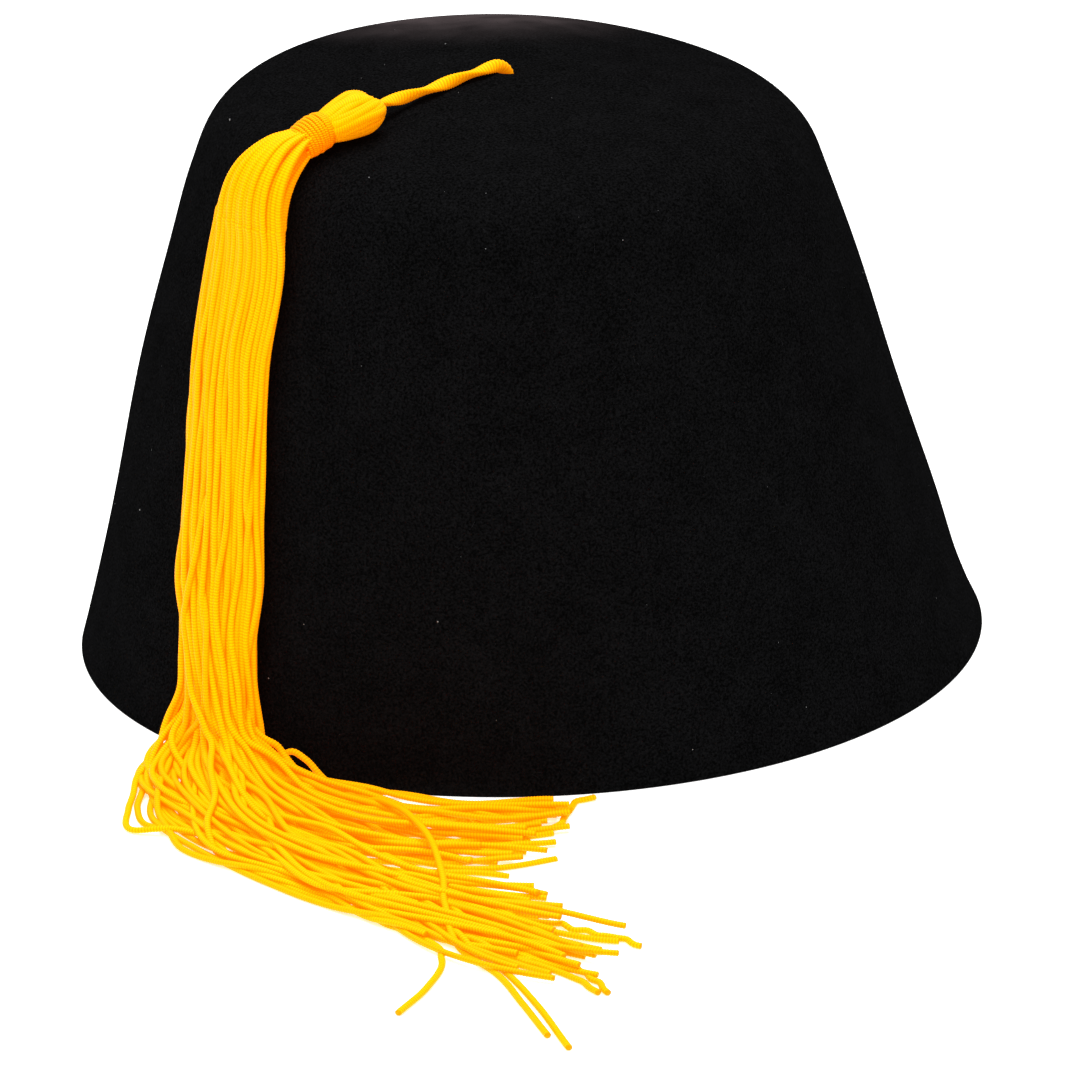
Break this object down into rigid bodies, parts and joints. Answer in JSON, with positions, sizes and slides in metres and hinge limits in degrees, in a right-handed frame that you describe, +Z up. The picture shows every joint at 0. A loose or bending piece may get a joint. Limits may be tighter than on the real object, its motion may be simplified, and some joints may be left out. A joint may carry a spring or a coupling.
{
  "type": "fez hat",
  "caption": "Black felt fez with a straight sloping wall and a shallow domed top, and a long gold tassel laid down its wall and out over the surface.",
  "frame": {"origin": "centre of the oval head opening, in the plane of the rim that the hat stands on", "axes": "+Z up through the top of the crown, +X towards the wearer's front along the long axis of the oval, +Y towards the wearer's left"},
  "size_m": [0.2061, 0.2758, 0.1366],
  "materials": {
    "black_felt": "matte blocked wool felt",
    "gold_strands": "soft sheen rayon chainette",
    "gold_thread": "soft sheen wound rayon thread",
    "gold_cord": "soft sheen rayon chainette, doubled"
  },
  "bodies": {
    "root": {"felt_crown": "black_felt", "tassel_bundle": "gold_strands", "neck_binding": "gold_thread", "tassel_cord": "gold_cord", "cord_knot": "gold_cord"}
  },
  "joints": []
}
